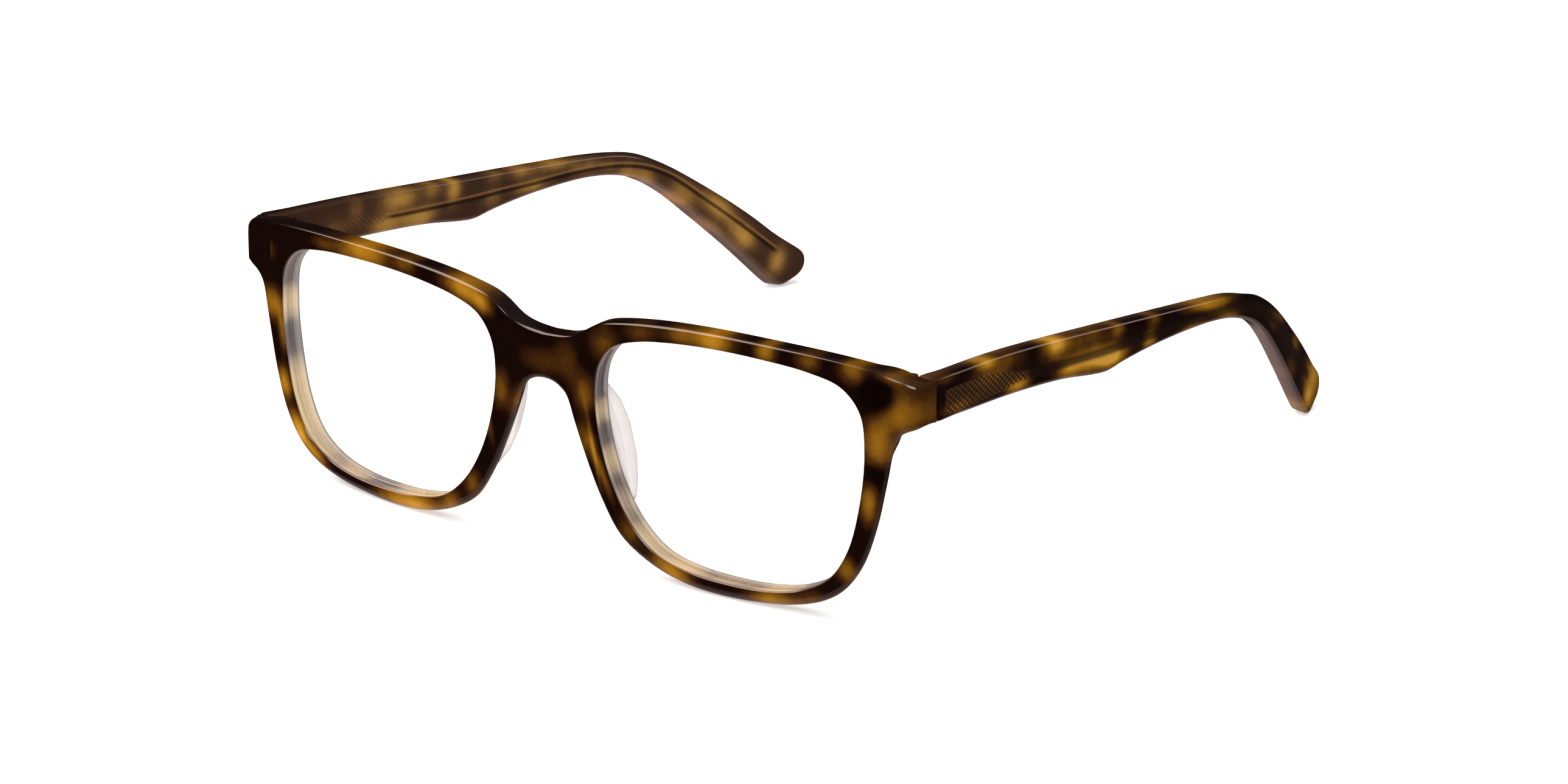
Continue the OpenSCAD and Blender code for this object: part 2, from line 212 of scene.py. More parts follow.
# On the wearer's right temple [y, z, half length, half height, turn, strength]
right_temple_spots = [
    [41.5, 16.8, 4.4, 1.7, -6, 0.8], [37.5, 13.0, 3.6, 1.8, -6, 0.72], [46.5, 12.2, 4.4, 1.6, -6, 0.8],
    [30.5, 17.2, 1.8, 2.4, 0, 0.36], [56.0, 15.2, 1.9, 2.4, 0, 0.8], [50.5, 16.4, 2.2, 1.5, 0, 0.55],
    [66.5, 10.6, 2.2, 1.6, 0, 0.42], [67.5, 14.6, 2.0, 1.2, 0, 0.4], [75.0, 13.6, 3.2, 1.2, -6, 0.62],
    [77.5, 10.2, 4.4, 1.1, -3, 0.7], [84.5, 12.6, 4.4, 1.1, -6, 0.66], [93.0, 10.0, 4.4, 1.3, -8, 0.5],
    [104.5, 6.2, 2.8, 1.7, -22, 0.62], [109.5, 4.2, 2.4, 1.3, -34, 0.55], [117.5, -1.2, 3.4, 2.4, -42, 0.6],
    [126.0, -5.2, 4.6, 1.7, -42, 0.8], [124.0, -9.0, 2.8, 1.3, -42, 0.5], [131.5, -12.0, 3.2, 1.8, -42, 0.8],
    [139.5, -18.6, 1.8, 2.6, -20, 0.75], [25.0, 15.4, 3.0, 1.6, -6, 0.3], [99.0, 8.6, 2.0, 0.9, -10, 0.4]]


# ---- curves ----
def spline(points, steps=12, closed=False):
    """Centripetal Catmull-Rom curve through the points."""
    p = np.array(points, float)
    count = len(p)
    if closed:
        p = np.vstack([p[-1], p, p[0], p[1]])
        pieces = count
    else:
        p = np.vstack([2 * p[0] - p[1], p, 2 * p[-1] - p[-2]])
        pieces = count - 1
    out = []
    for i in range(pieces):
        a, b, c, d = p[i:i + 4]
        t1 = math.sqrt(np.linalg.norm(b - a))
        t2 = t1 + math.sqrt(np.linalg.norm(c - b))
        t3 = t2 + math.sqrt(np.linalg.norm(d - c))
        t = (t1 + np.arange(steps) / steps * (t2 - t1))[:, None]
        ab = ((t1 - t) * a + t * b) / t1
        bc = ((t2 - t) * b + (t - t1) * c) / (t2 - t1)
        cd = ((t3 - t) * c + (t - t2) * d) / (t3 - t2)
        abc = ((t2 - t) * ab + t * bc) / t2
        bcd = ((t3 - t) * bc + (t - t1) * cd) / (t3 - t1)
        out.append(((t2 - t) * abc + (t - t1) * bcd) / (t2 - t1))
    if not closed:
        out.append(p[-2][None])
    return np.vstack(out)


def lengths(line):
    """Arc length at each point of a line."""
    steps = np.linalg.norm(np.diff(line, axis=0), axis=1)
    return np.concatenate([[0], np.cumsum(steps)])


def at_length(line, s):
    """Points of a line at arc lengths s."""
    along = lengths(line)
    return np.stack([np.interp(s, along, line[:, k]) for k in range(line.shape[1])], -1)


def spaced(line, spacing):
    """The line again, with even spacing close to the one asked for."""
    total = lengths(line)[-1]
    return at_length(line, np.linspace(0, total, max(2, round(total / spacing) + 1)))


def directions(line):
    """Unit direction along a line at each of its points."""
    d = np.gradient(line, axis=0)
    return d / np.linalg.norm(d, axis=1)[:, None]


def right_of(d):
    """Directions turned a quarter to the right."""
    return np.stack([d[:, 1], -d[:, 0]], -1)


def arc(middle, radius, start, end, count):
    """Points on an arc between two angles in degrees."""
    angles = np.radians(np.linspace(start, end, count))
    return np.array(middle) + radius * np.stack([np.cos(angles), np.sin(angles)], -1)


def smoothstep(a, b, x):
    """Soft step of x from 0 at a to 1 at b."""
    t = np.clip((x - a) / (b - a), 0, 1)
    return t * t * (3 - 2 * t)


# ---- standing the upright frame up in the row frame ----
left_fold = next(j for j in frame["joints"] if j["name"] == "left_fold")
up_axis = np.array(left_fold["axis"])
back_axis = np.cross(up_axis, [1, 0, 0])
turn_to_row = np.stack([[1, 0, 0], back_axis, up_axis], 1)
row_origin = np.array(left_fold["pos_m"]) - turn_to_row @ (hinge_centre * MM)


def stand(points):
    """Upright points in mm to the row frame in metres."""
    return row_origin + (np.asarray(points, float) * MM) @ turn_to_row.T


# ---- the front's skin: u runs along the front face, z up, w from the face (0) to the back (1) ----
corner_x = half_width - corner_radius
corner_turn = math.asin(corner_x / (wrap_radius - corner_radius))
corner_y = wrap_radius - (wrap_radius - corner_radius) * math.cos(corner_turn)
wrap_end = wrap_radius * corner_turn
corner_end = wrap_end + corner_radius * (math.pi / 2 - corner_turn)
seam_u = corner_end + seam_y - corner_y
block_start = 62.8
block_back = np.array([[61.92, 8.87], [63.7, 10], [65.4, seam_y], [half_width, seam_y]])


def u_of_x(x):
    """Length along the front face at each x."""
    wrap = wrap_radius * np.arcsin(np.minimum(x, wrap_radius * math.sin(corner_turn)) / wrap_radius)
    turned = np.arcsin(np.clip((x - corner_x) / corner_radius, -1, 1))
    return np.where(x < wrap_radius * math.sin(corner_turn), wrap,
                    wrap_end + corner_radius * (turned - corner_turn))


def unrolled(xz):
    """Skin positions [u, z] of front-view points [x, z]."""
    return np.stack([u_of_x(xz[:, 0]), xz[:, 1]], -1)


def face_point(u):
    """Plan position [x, y] of the front face, and the inward direction."""
    theta = np.minimum(u, wrap_end) / wrap_radius
    theta = theta + np.clip(u - wrap_end, 0, corner_end - wrap_end) / corner_radius
    direction = np.stack([-np.sin(theta), np.cos(theta)], -1)
    wrap = np.stack([wrap_radius * np.sin(theta), wrap_radius * (1 - np.cos(theta))], -1)
    corner = np.array([corner_x, corner_y]) - corner_radius * direction
    corner[:, 1] += np.maximum(u - corner_end, 0)
    return np.where((u < wrap_end)[:, None], wrap, corner), direction


def back_point(u, z):
    """Plan position of the back of the front: parallel to the face, thicker behind the end pieces."""
    face, inward = face_point(np.minimum(u, wrap_end))
    plain = face + front_thickness * inward
    total = lengths(block_back)[-1]
    block = at_length(block_back, (u - block_start) / (seam_u - block_start) * total)
    share = smoothstep(4.5, 10, z) * (u > block_start)
    return plain + (block - plain) * share[:, None]


def thickness(u, z):
    return np.maximum(np.linalg.norm(back_point(u, z) - face_point(u)[0], axis=1), 1e-3)


def front_skin(uz, w):
    """Upright points for skin positions uz and depth shares w."""
    u, z = uz[:, 0], uz[:, 1]
    plan = face_point(u)[0] * (1 - w)[:, None] + back_point(u, z) * w[:, None]
    return np.stack([plan[:, 0], plan[:, 1], z], -1)


# ---- meshes ----
def ring_faces(rows, columns, skipped=None, closed_rows=False):
    """Quads between rows of a closed ring. skipped(row, column) leaves a quad out."""
    faces = []
    for r in range(rows if closed_rows else rows - 1):
        for c in range(columns):
            if skipped and skipped(r, c):
                continue
            d = (c + 1) % columns
            e = (r + 1) % rows
            faces.append((r * columns + c, r * columns + d, e * columns + d, e * columns + c))
    return faces


def build(name, points, faces, creases=(), both_halves=False, subdivisions=1):
    """A smooth closed mesh from upright points. creases holds pairs (set of point indices, sharpness)."""
    merge_distance, sliver_length = 0.012, 0.004
    points = np.asarray(points, float)
    mesh = bpy.data.meshes.new(name)
    if both_halves:
        count = len(points)
        faces = list(faces) + [tuple(count + i for i in reversed(f)) for f in faces]
        points = np.vstack([points, points * [-1, 1, 1]])
        creases = list(creases) + [({count + i for i in rows}, sharp) for rows, sharp in creases]
    mesh.from_pydata([tuple(p) for p in points], [], faces)
    bm = bmesh.new()
    bm.from_mesh(mesh)
    layer = bm.edges.layers.float.new("crease_edge")
    for rows, sharp in creases:
        for edge in bm.edges:
            if edge.verts[0].index in rows and edge.verts[1].index in rows:
                edge[layer] = sharp
    bmesh.ops.remove_doubles(bm, verts=bm.verts, dist=merge_distance)
    bmesh.ops.dissolve_degenerate(bm, dist=sliver_length, edges=bm.edges)
    bmesh.ops.recalc_face_normals(bm, faces=bm.faces)
    bm.to_mesh(mesh)
    bm.free()
    piece = bpy.data.objects.new(name, mesh)
    bpy.context.scene.collection.objects.link(piece)
    if subdivisions:
        modifier = piece.modifiers.new("smooth", "SUBSURF")
        modifier.levels = modifier.render_levels = subdivisions
        apply_modifiers(piece)
    return piece


def apply_modifiers(piece):
    graph = bpy.context.evaluated_depsgraph_get()
    made = bpy.data.meshes.new_from_object(piece.evaluated_get(graph))
    piece.modifiers.clear()
    old = piece.data
    piece.data = made
    bpy.data.meshes.remove(old)
    made.name = piece.name


def vertices(piece):
    co = np.zeros(len(piece.data.vertices) * 3, np.float32)
    piece.data.vertices.foreach_get("co", co)
    return co.reshape(-1, 3).astype(float)


def set_vertices(piece, points):
    piece.data.vertices.foreach_set("co", np.asarray(points, np.float32).ravel())
    piece.data.update()


def upright_normals(piece):
    normals = np.zeros(len(piece.data.vertices) * 3, np.float32)
    piece.data.vertex_normals.foreach_get("vector", normals)
    return normals.reshape(-1, 3)


def shade(piece, sharp_angle=math.radians(38)):
    """Smooth shading with hard edges where faces meet steeply."""
    bm = bmesh.new()
    bm.from_mesh(piece.data)
    for f in bm.faces:
        f.smooth = True
    for e in bm.edges:
        e.smooth = not (len(e.link_faces) == 2 and e.calc_face_angle(0) > sharp_angle)
    bm.to_mesh(piece.data)
    bm.free()


def store(piece, name, values):
    """Keeps one number or one vector for each vertex."""
    values = np.asarray(values, np.float32)
    kind = "FLOAT_VECTOR" if values.ndim == 2 else "FLOAT"
    attribute = piece.data.attributes.new(name, kind, "POINT")
    attribute.data.foreach_set("vector" if values.ndim == 2 else "value", values.ravel())


def cut(piece, low, high, axis_cylinder=None):
    """Cuts a box out of a piece that is still upright, or an upright cylinder between the same heights."""
    low, high = np.array(low, float), np.array(high, float)
    bm = bmesh.new()
    bmesh.ops.create_cube(bm, size=1)
    for v in bm.verts:
        v.co = Vector((low + high) / 2 + np.array(v.co) * (high - low))
    if axis_cylinder:
        x, y, radius = axis_cylinder
        bmesh.ops.delete(bm, geom=bm.verts[:], context="VERTS")
        bmesh.ops.create_cone(bm, cap_ends=True, segments=40, radius1=radius, radius2=radius,
                              depth=high[2] - low[2],
                              matrix=Matrix.Translation((x, y, (low[2] + high[2]) / 2)))
    mesh = bpy.data.meshes.new("cutter")
    bm.to_mesh(mesh)
    bm.free()
    tool = bpy.data.objects.new("cutter", mesh)
    bpy.context.scene.collection.objects.link(tool)
    modifier = piece.modifiers.new("cut", "BOOLEAN")
    modifier.operation = "DIFFERENCE"
    modifier.solver = "EXACT"
    modifier.object = tool
    bpy.context.view_layer.update()
    apply_modifiers(piece)
    bpy.data.objects.remove(tool)


def spot_field(spots, a, b):
    """Sum of soft oval spots at positions (a, b)."""
    total = np.zeros(len(a))
    for x, z, half_a, half_b, turn, strength in spots:
        t = math.radians(turn)
        da, db = a - x, b - z
        along = (da * math.cos(t) + db * math.sin(t)) / half_a
        across = (db * math.cos(t) - da * math.sin(t)) / half_b
        total += strength * np.exp(-0.7 * (along ** 2 + across ** 2) ** 1.1)
    return total


# ---- front ----
def front_columns():
    """Columns round half of the front: outer points, insets, edge radii, splay and points of the rim."""
    outline = spline(half_outline, 16)
    last_top = int(np.argmax(outline[:, 0] >= half_width))
    first_low = len(outline) - int(np.argmax(outline[::-1, 0] >= half_width))
    top_xz = outline[:last_top]
    low_xz = outline[first_low:]
    top = spaced(np.vstack([unrolled(top_xz), [[seam_u, seam_top]]]), column_step)
    low = spaced(np.vstack([[[seam_u, seam_low]], unrolled(low_xz)]), column_step)
    seam = spaced(np.array([top[-1], low[0]]), seam_step)[1:-1]
    bridge_z = np.linspace(low[-1, 1] + bridge_low_inset, top[0, 1] - bridge_top_inset, bridge_columns)
    centre = np.stack([0 * bridge_z, bridge_z], -1)
    inset_top, inset_low = right_of(directions(top)), right_of(directions(low))
    inset_top[0], inset_low[-1] = [0, -1], [0, 1]
    inset_top[-1] += [-1, 0]
    inset_low[0] += [-1, 0]
    outer = np.vstack([top, seam, low, centre])
    inset = np.vstack([inset_top, np.tile([-1, 0], (len(seam), 1)), inset_low, 0 * centre])
    downward = np.clip(inset[:, 1], 0, 1)
    u, z = outer[:, 0], outer[:, 1]
    radius = front_edge_radius + (lower_edge_radius - front_edge_radius) * downward * (z < lower_rim_z)
    radius += end_corner_extra * smoothstep(*end_piece_u, u) * smoothstep(*end_piece_z, z)
    to_seam = smoothstep(seam_u, seam_u - seam_fade, u)
    radius = seam_edge_radius + (radius - seam_edge_radius) * to_seam
    rim_side = np.abs(inset[:, 0]) * smoothstep(*rim_side_z, z)
    radius -= side_edge_cut * rim_side
    back_radius = back_edge_radius + (side_back_radius - back_edge_radius) * rim_side
    back_radius = back_seam_radius + (back_radius - back_seam_radius) * smoothstep(*back_seam_u, u)
    splay = np.where(u < rim_middle_u, nasal_splay, temporal_splay) * rim_side
    for values in (radius, back_radius, splay):
        values[-bridge_columns:] = 0

    # each column runs to the nearest place on the rim of the opening, evened out round the ring
    rim = unrolled(spline(aperture, 24, closed=True)[::-1])
    ring = np.vstack([rim, rim[:1]])
    total = lengths(ring)[-1]
    sample_count = 1200
    samples = at_length(ring, np.linspace(0, total, sample_count, endpoint=False))
    edge = outer + inset * radius[:, None]
    nearest = np.array([np.argmin(np.linalg.norm(samples - p, axis=1)) for p in edge])
    nearest = nearest / sample_count * total
    nearest = np.unwrap(nearest / total * 2 * math.pi) / (2 * math.pi) * total
    count = len(outer)
    sigma, window = 5.0, 16
    weights = np.exp(-0.5 * (np.arange(-window, window + 1) / sigma) ** 2)
    weights /= weights.sum()
    ramp = np.arange(count) * total / count
    wavy = nearest - ramp
    padded = np.concatenate([wavy[-window:], wavy, wavy[:window]])
    place = np.mod(ramp + np.convolve(padded, weights, "valid"), total)
    rim_points = at_length(ring, place)
    reach = 0.3
    step = at_length(ring, np.mod(place + reach, total)) - at_length(ring, np.mod(place - reach, total))
    rim_out = -right_of(step / np.linalg.norm(step, axis=1)[:, None])
    return outer, inset, radius, back_radius, splay, rim_points, rim_out


edge_angles = (25, 50, 70, 90)


def front_mesh():
    outer, inset, radius, back_radius, splay, rim, rim_out = front_columns()
    columns = len(outer)
    rows = []

    def row_at(uz, depth):
        w = np.clip(np.broadcast_to(depth, columns) / thickness(uz[:, 0], uz[:, 1]), 0, 1)
        rows.append(front_skin(uz, w))
        return w

    def row_on_back(uz):
        rows.append(front_skin(uz, np.ones(columns)))

    chamfer = aperture_chamfer
    lip, floor = 0.05, 0.03
    row_at(rim, depth=lens_front - lip)
    row_at(rim, depth=0.5 * (lens_front + chamfer))
    row_at(rim, depth=chamfer)
    row_at(rim + chamfer * rim_out, depth=0)
    start, end = rim + chamfer * rim_out, outer + inset * radius[:, None]
    face_rings = 13
    for k in range(1, face_rings):
        row_at(start + (end - start) * k / face_rings, depth=0)
    edge_start = len(rows)
    row_at(end, depth=0)
    for degrees in edge_angles:
        a = math.radians(degrees)
        depth = radius * (1 - math.cos(a))
        shift = radius * (1 - math.sin(a)) + splay * depth / front_thickness
        deepest = row_at(outer + inset * shift[:, None], depth=depth)
    back_depth = thickness(outer[:, 0], outer[:, 1])
    middle = 0.5 * (deepest * back_depth + back_depth - back_radius)
    row_at(outer + inset * (splay * middle / front_thickness)[:, None], depth=middle)
    for degrees in edge_angles[::-1] + (0,):
        a = math.radians(degrees)
        uz = outer + inset * (splay + back_radius * (1 - math.sin(a)))[:, None]
        room = thickness(uz[:, 0], uz[:, 1])
        row_at(uz, depth=np.maximum(room - back_radius * (1 - math.cos(a)), deepest * room))
    edge_end = len(rows) - 1
    start, end = outer + inset * (splay + back_radius)[:, None], rim + chamfer * rim_out
    for k in range(1, face_rings):
        row_on_back(start + (end - start) * k / face_rings)
    row_on_back(rim + chamfer * rim_out)
    row_at(rim, depth=front_thickness - chamfer)
    row_at(rim, depth=lens_back + lip)
    row_at(rim + groove_depth * rim_out, depth=lens_back + floor)
    row_at(rim + groove_depth * rim_out, depth=lens_front - floor)

    first_open = columns - bridge_columns - 1

    def skipped(r, c):
        return edge_start <= r < edge_end and c >= first_open

    faces = ring_faces(len(rows), columns, skipped, closed_rows=True)
    creases = []
    for row, sharp in ((0, 1.0), (2, 0.55), (3, 0.7), (-5, 0.6), (-4, 0.6), (-3, 1.0), (-2, 1.0), (-1, 1.0)):
        r = row % len(rows)
        creases.append(({r * columns + c for c in range(columns)}, sharp))
    return build("acetate_front", np.vstack(rows), faces, creases, both_halves=True)


def rim_distance(points):
    """Distance of upright points from the wall of the nearer lens opening, measured in front view."""
    ring = spline(aperture, 16, closed=True)
    flat = np.stack([np.abs(points[:, 0]), points[:, 2]], -1)
    out = np.empty(len(flat))
    batch = 4000
    for i in range(0, len(flat), batch):
        d = flat[i:i + batch, None] - ring[None]
        out[i:i + batch] = np.sqrt((d ** 2).sum(-1).min(1))
    return out


def face_depth(points):
    """Depth of upright points behind the front face."""
    x, y = np.abs(points[:, 0]), points[:, 1]
    return wrap_radius - np.hypot(x, wrap_radius - y)


def make_front():
    piece = front_mesh()
    for side in (LEFT, RIGHT):
        inner, outer = hinge_centre[0] + recess_from[0], hinge_centre[0] + recess_to[0]
        low_x, high_x = sorted((side * inner, side * outer))
        cut(piece, (low_x, *recess_from[1:]), (high_x, *recess_to[1:]))
        bore = (side * hinge_centre[0], hinge_centre[1], bore_radius)
        cut(piece, (0, 0, bore_from_z), (0, 0, bore_to_z), bore)
    points = vertices(piece)
    depth = face_depth(points)
    near_rim = smoothstep(1.2, 0.8, rim_distance(points))
    in_wall = smoothstep(0.15, 0.45, depth)
    in_wall = in_wall * smoothstep(front_thickness - 0.15, front_thickness - 0.4, depth)
    # Milled walls of the lens openings: rougher, and given a painted pale sheen in their colour
    milled = near_rim * in_wall
    amber = spot_field(front_spots, points[:, 0], points[:, 2])
    in_wall_amber = spot_field(wall_spots, points[:, 0], points[:, 2])
    store(piece, "amber", amber + (in_wall_amber - amber) * milled)
    store(piece, "milled", milled)
    # Painted reflection: downward-facing undersides of the lower rims get a tint for the floor reflected in
    # them
    low_rim = smoothstep(-6, -15, points[:, 2]) * (1 - milled)
    store(piece, "painted_under_reflection", smoothstep(0.05, -0.55, upright_normals(piece)[:, 2]) * low_rim)
    far_from_core = 9
    store(piece, "route", np.stack([0 * depth, 0 * depth + far_from_core, 0 * depth], -1))
    store(piece, "wall_depth", depth)
    set_vertices(piece, stand(points))
    shade(piece)
    return piece


# ---- temples ----
def plan_x(y):
    line = spline(temple_plan, 16)
    return np.interp(y, line[:, 1], line[:, 0])


def plan_inner_x(y):
    line = spline(temple_plan, 16)
    normal = directions(line)
    inner = line + temple_thickness * np.stack([-normal[:, 1], normal[:, 0]], -1)
    return np.interp(y, inner[:, 1], inner[:, 0])


def temple_columns():
    """Columns round a temple's side view, and the middle point that each one runs to."""
    start = seam_y + seam_gap
    top, low = spline(temple_top, 16), spline(temple_bottom, 16)
    # matching places [y] on the upper and lower edge, and the share of the stations up to each
    pairs_top = [start, 58.5, 95, 114.5, 143]
    pairs_low = [start, 57.5, 93, 106, 138]
    knots = [0, 0.34, 0.61, 0.76, 1]
    t = np.linspace(0, 1, temple_stations)
    y_top, y_low = np.interp(t, knots, pairs_top), np.interp(t, knots, pairs_low)
    top = np.stack([y_top, np.interp(y_top, top[:, 0], top[:, 1])], -1)
    low = np.stack([y_low, np.interp(y_low, low[:, 0], low[:, 1])], -1)
    middle = (top + low) / 2
    first, last = 4, temple_stations - 6
    index = np.clip(np.arange(temple_stations), first, last)
    tip = [arc(*corner, 6) for corner in tip_corners]
    straight = spaced(np.array([tip[0][-1], tip[1][0]]), seam_step)[1:-1]
    tip = np.vstack([tip[0], straight, tip[1]])
    seam = spaced(np.array([low[0], top[0]]), seam_step)[1:-1]
    outer = np.vstack([top, tip, low[::-1], seam])
    runs_to = np.concatenate([index, np.full(len(tip), last), index[::-1], np.full(len(seam), first)])
    closed = np.vstack([outer[-1:], outer, outer[:1]])
    step = closed[2:] - closed[:-2]
    inset = right_of(step / np.linalg.norm(step, axis=1)[:, None])
    low_start = len(top) + len(tip) + len(low) - 1
    inset[0] = [1, -1]
    inset[low_start] = [1, 1]
    inset[low_start + 1:] = [1, 0]
    return outer, inset, middle[runs_to]


def taper_tip(points):
    """Narrows the inner face behind the bend and lifts the outer face's top edge a little."""
    y, z = points[:, 1], points[:, 2]
    inward = np.clip((plan_x(y) - points[:, 0]) / temple_thickness, 0, 1)
    top, low = spline(temple_top, 16), spline(temple_bottom, 16)
    z_top, z_low = np.interp(y, top[:, 0], top[:, 1]), np.interp(y, low[:, 0], low[:, 1])
    upward = np.clip((z - z_low) / np.maximum(z_top - z_low, 1), 0, 1)
    at_top = outer_top_rise * (1 - inward) - inner_top_drop * inward
    lift = at_top * upward + inner_low_rise * inward * (1 - upward)
    points[:, 2] += lift * smoothstep(*bend_y, y) * smoothstep(*tip_y, y)
    return points


def core_places(flat):
    """Length along the core's line and distance across it, for side-view points [y, z]."""
    route = spaced(spline(core_line, 12), 0.25)
    along = lengths(route)
    forward = directions(route)
    sideways = right_of(forward)
    s = np.empty(len(flat))
    c = np.empty(len(flat))
    batch = 3000
    for i in range(0, len(flat), batch):
        gap = flat[i:i + batch, None] - route[None]
        best = (gap ** 2).sum(-1).argmin(1)
        chosen = gap[np.arange(len(best)), best]
        s[i:i + batch] = along[best] + (chosen * forward[best]).sum(-1)
        c[i:i + batch] = (chosen * sideways[best]).sum(-1)
    return s, c


def make_temple(side, spots):
    outer, inset, centre = temple_columns()
    columns = len(outer)
    grow = smoothstep(seam_y, seam_y + 7, outer[:, 0])
    radius = seam_edge_radius + (temple_edge_radius - seam_edge_radius) * grow
    rows = []

    def row_at(yz, depth=None, from_back=None):
        outside, inside = plan_x(yz[:, 0]), plan_inner_x(yz[:, 0])
        x = outside - depth if depth is not None else inside + from_back
        rows.append(np.stack([x, yz[:, 0], yz[:, 1]], -1))

    face_rings = 5
    edge = outer + inset * radius[:, None]
    for k in range(face_rings):
        row_at(centre + (edge - centre) * k / face_rings, depth=0)
    for degrees in (0,) + edge_angles:
        a = math.radians(degrees)
        shift = radius * (1 - math.sin(a))
        row_at(outer + inset * shift[:, None], depth=radius * (1 - math.cos(a)))
    row_at(outer, depth=temple_thickness / 2)
    for degrees in edge_angles[::-1] + (0,):
        a = math.radians(degrees)
        shift = radius * (1 - math.sin(a))
        row_at(outer + inset * shift[:, None], from_back=radius * (1 - math.cos(a)))
    for k in range(face_rings - 1, -1, -1):
        row_at(centre + (edge - centre) * k / face_rings, from_back=0)
    faces = ring_faces(len(rows), columns)
    points = taper_tip(np.vstack(rows))
    piece = build("acetate_temple_" + SIDE_NAMES[side], points * [side, 1, 1], faces)
    low_x, high_x = sorted((side * pocket_from[0], side * pocket_to[0]))
    cut(piece, (low_x, *pocket_from[1:]), (high_x, *pocket_to[1:]))
    points = vertices(piece)
    flat = points[:, 1:]
    s, c = core_places(flat)
    # The inner face is painted lighter, as if lit, and shows the core as a crisp line
    lit_inner_face = smoothstep(1.0, 2.8, plan_x(points[:, 1]) - np.abs(points[:, 0]))
    store(piece, "amber", spot_field(spots, flat[:, 0], flat[:, 1]))
    store(piece, "milled", 0 * s)
    store(piece, "painted_under_reflection", 0 * s)
    store(piece, "route", np.stack([s, c, lit_inner_face], -1))
    store(piece, "wall_depth", 0 * s)
    set_vertices(piece, stand(points))
    shade(piece)
    return piece


# ---- lenses and nose pads ----
def make_lens(side):
    rim = unrolled(spaced(np.vstack([spline(aperture, 12, closed=True), [aperture[0]]]), lens_step)[:-1])
    closed = np.vstack([rim[-1:], rim, rim[:1]])
    step = closed[2:] - closed[:-2]
    out = right_of(step / np.linalg.norm(step, axis=1)[:, None])
    rows = []

    def row_at(share, reach, depth):
        uz = lens_centre + (rim + out * reach - lens_centre) * share
        plan, inward = face_point(uz[:, 0])
        plan = plan + inward * (depth - lens_dome * (1 - share ** 2))
        rows.append(np.stack([plan[:, 0] * side, plan[:, 1], uz[:, 1]], -1))

    shares = (0.0, 0.2, 0.45, 0.7, 0.9, 1.0)
    for share in shares:
        row_at(share, 0.1, lens_front)
    row_at(1.0, 0.3, lens_front + 0.08)
    row_at(1.0, groove_depth - 0.04, 0.5 * (lens_front + lens_back))
    row_at(1.0, 0.3, lens_back - 0.08)
    for share in shares[::-1]:
        row_at(share, 0.1, lens_back)
    piece = build("clear_lens_" + SIDE_NAMES[side], np.vstack(rows), ring_faces(len(rows), len(rim)))
    set_vertices(piece, stand(vertices(piece)))
    shade(piece)
    return piece


def make_pad(side):
    """The hull of the pad's balls, softened and held off the back of the front."""
    bm = bmesh.new()
    for middle, radius in pad_balls:
        place = Matrix.Translation((middle[0] * side, middle[1], middle[2]))
        bmesh.ops.create_icosphere(bm, subdivisions=3, radius=radius, matrix=place)
    hull = bmesh.ops.convex_hull(bm, input=bm.verts)
    spare = {g for g in hull["geom_interior"] + hull["geom_unused"] if isinstance(g, bmesh.types.BMVert)}
    bmesh.ops.delete(bm, geom=list(spare), context="VERTS")
    name = "crystal_nose_pad_" + SIDE_NAMES[side]
    mesh = bpy.data.meshes.new(name)
    bm.to_mesh(mesh)
    bm.free()
    piece = bpy.data.objects.new(name, mesh)
    bpy.context.scene.collection.objects.link(piece)
    remesh = piece.modifiers.new("even", "REMESH")
    remesh.mode = "VOXEL"
    remesh.voxel_size = 0.28
    smooth = piece.modifiers.new("soft", "SMOOTH")
    smooth.iterations = 8
    apply_modifiers(piece)
    points = vertices(piece)
    sunk = 0.06
    behind = front_thickness - sunk - face_depth(points)
    points[:, 1] += np.maximum(behind, 0)
    set_vertices(piece, stand(points))
    shade(piece, math.radians(60))
    return piece


# ---- materials ----
# Pale streaks of the milling marks, drawn into the painted sheen of the milled walls
milling_streak_sheen_colour = (0.55, 0.52, 0.49)
# Painted reflection of the pale floor on the undersides of the lower rims
painted_under_reflection_colour = (0.26, 0.085, 0.035)
facet_colour = (0.30, 0.15, 0.045)
# Painted glint of the core on the temples' inner faces
core_glint_colour = (0.26, 0.13, 0.04)
# The core seen in the temples, with its painted shadow
core_and_shadow_colour = (0.008, 0.004, 0.002)


def new_material(name):
    material = bpy.data.materials.new(name)
    material.use_nodes = True
    nodes = material.node_tree.nodes
    return material, nodes, material.node_tree.links, nodes["Principled BSDF"]


def math_node(nodes, links, operation, *inputs):
    node = nodes.new("ShaderNodeMath")
    node.operation = operation
    for i, value in enumerate(inputs):
        if isinstance(value, (int, float)):
            node.inputs[i].default_value = value
        else:
            links.new(value, node.inputs[i])
    return node.outputs[0]


def ramp_node(nodes, links, value, stops):
    node = nodes.new("ShaderNodeValToRGB")
    elements = node.color_ramp.elements
    while len(elements) < len(stops):
        elements.new(0.5)
    for element, (position, colour) in zip(elements, stops):
        element.position = position
        element.color = (*colour, 1) if len(colour) == 3 else colour
    links.new(value, node.inputs["Fac"])
    return node.outputs["Color"]


def noise_node(nodes, links, vector, scale, detail=2.0, roughness=0.5):
    node = nodes.new("ShaderNodeTexNoise")
    node.inputs["Scale"].default_value = scale
    node.inputs["Detail"].default_value = detail
    node.inputs["Roughness"].default_value = roughness
    links.new(vector, node.inputs["Vector"])
    return node.outputs["Fac"]


def attribute_node(nodes, name):
    node = nodes.new("ShaderNodeAttribute")
    node.attribute_name = name
    return node


def mix_colour(nodes, links, share, a, b):
    node = nodes.new("ShaderNodeMix")
    node.data_type = "RGBA"
    links.new(share, node.inputs["Factor"])
    links.new(a, node.inputs["A"])
    if isinstance(b, tuple):
        node.inputs["B"].default_value = (*b, 1)
    else:
        links.new(b, node.inputs["B"])
    return node.outputs["Result"]


